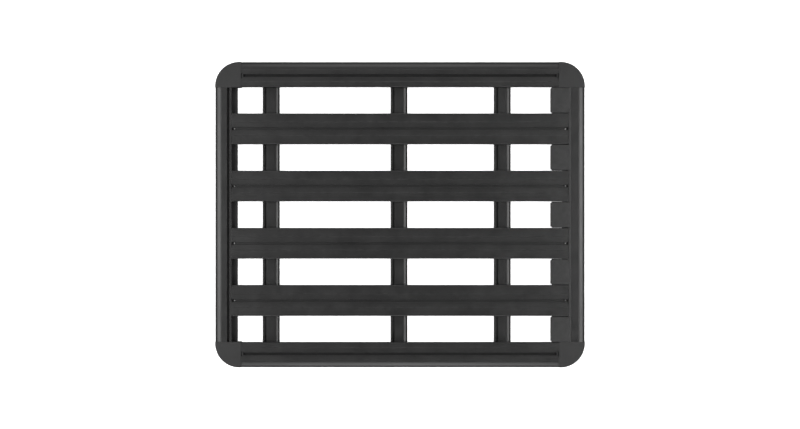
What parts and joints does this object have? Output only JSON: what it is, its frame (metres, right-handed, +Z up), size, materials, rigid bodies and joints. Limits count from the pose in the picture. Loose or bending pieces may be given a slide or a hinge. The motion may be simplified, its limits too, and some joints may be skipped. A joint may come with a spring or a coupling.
{
  "type": "roof cargo platform",
  "caption": "Flat modular roof rack platform with slotted planks, rounded perimeter rails, corner castings, a flush front fairing and sliding aero crossbars.",
  "frame": {"origin": "centre of the footprint, on the plane of the rails' lower edges", "axes": "+X towards the front of the vehicle, along the planks; +Y towards its left side; +Z up, out of the deck"},
  "size_m": [1.5, 1.24, 0.058],
  "materials": {
    "powder_coat_black": "black fine-texture powder coat over aluminium extrusion",
    "moulded_black": "matte fine-grained moulding",
    "zinc_steel": "satin zinc plating"
  },
  "bodies": {
    "frame": {"plank_1": "powder_coat_black", "plank_2": "powder_coat_black", "plank_3": "powder_coat_black", "plank_4": "powder_coat_black", "side_rail_left": "powder_coat_black", "side_rail_right": "powder_coat_black", "end_rail_front": "powder_coat_black", "end_rail_rear": "powder_coat_black", "corner_front_left": "moulded_black", "corner_front_right": "moulded_black", "corner_rear_left": "moulded_black", "corner_rear_right": "moulded_black", "front_fairing": "moulded_black", "plank_screw_front_1": "zinc_steel", "plank_screw_front_2": "zinc_steel", "plank_screw_front_3": "zinc_steel", "plank_screw_front_4": "zinc_steel", "plank_screw_rear_1": "zinc_steel", "plank_screw_rear_2": "zinc_steel", "plank_screw_rear_3": "zinc_steel", "plank_screw_rear_4": "zinc_steel", "corner_screw_front_left": "zinc_steel", "corner_screw_front_right": "zinc_steel", "corner_screw_rear_left": "zinc_steel", "corner_screw_rear_right": "zinc_steel", "fairing_screw_left": "zinc_steel", "fairing_screw_right": "zinc_steel"},
    "carriage_rear": {"crossbar_rear": "powder_coat_black", "crossbar_cap_rear_left": "moulded_black", "crossbar_cap_rear_right": "moulded_black", "tbolt_rear_1": "zinc_steel", "tbolt_rear_2": "zinc_steel", "tbolt_rear_3": "zinc_steel", "tbolt_rear_4": "zinc_steel", "nut_rear_1": "zinc_steel", "nut_rear_2": "zinc_steel", "nut_rear_3": "zinc_steel", "nut_rear_4": "zinc_steel"},
    "carriage_mid": {"crossbar_mid": "powder_coat_black", "crossbar_cap_mid_left": "moulded_black", "crossbar_cap_mid_right": "moulded_black", "tbolt_mid_1": "zinc_steel", "tbolt_mid_2": "zinc_steel", "tbolt_mid_3": "zinc_steel", "tbolt_mid_4": "zinc_steel", "nut_mid_1": "zinc_steel", "nut_mid_2": "zinc_steel", "nut_mid_3": "zinc_steel", "nut_mid_4": "zinc_steel"},
    "carriage_front": {"crossbar_front": "powder_coat_black", "crossbar_cap_front_left": "moulded_black", "crossbar_cap_front_right": "moulded_black", "tbolt_front_1": "zinc_steel", "tbolt_front_2": "zinc_steel", "tbolt_front_3": "zinc_steel", "tbolt_front_4": "zinc_steel", "nut_front_1": "zinc_steel", "nut_front_2": "zinc_steel", "nut_front_3": "zinc_steel", "nut_front_4": "zinc_steel"}
  },
  "joints": [
    {"name": "crossbar_rear_slide", "type": "slide", "parent": "frame", "child": "carriage_rear", "axis": [1, 0, 0], "range_m": [-0.08, 0.2]},
    {"name": "crossbar_mid_slide", "type": "slide", "parent": "frame", "child": "carriage_mid", "axis": [1, 0, 0], "range_m": [-0.2, 0.14]},
    {"name": "crossbar_front_slide", "type": "slide", "parent": "frame", "child": "carriage_front", "axis": [1, 0, 0], "range_m": [-0.15, 0.11]}
  ]
}
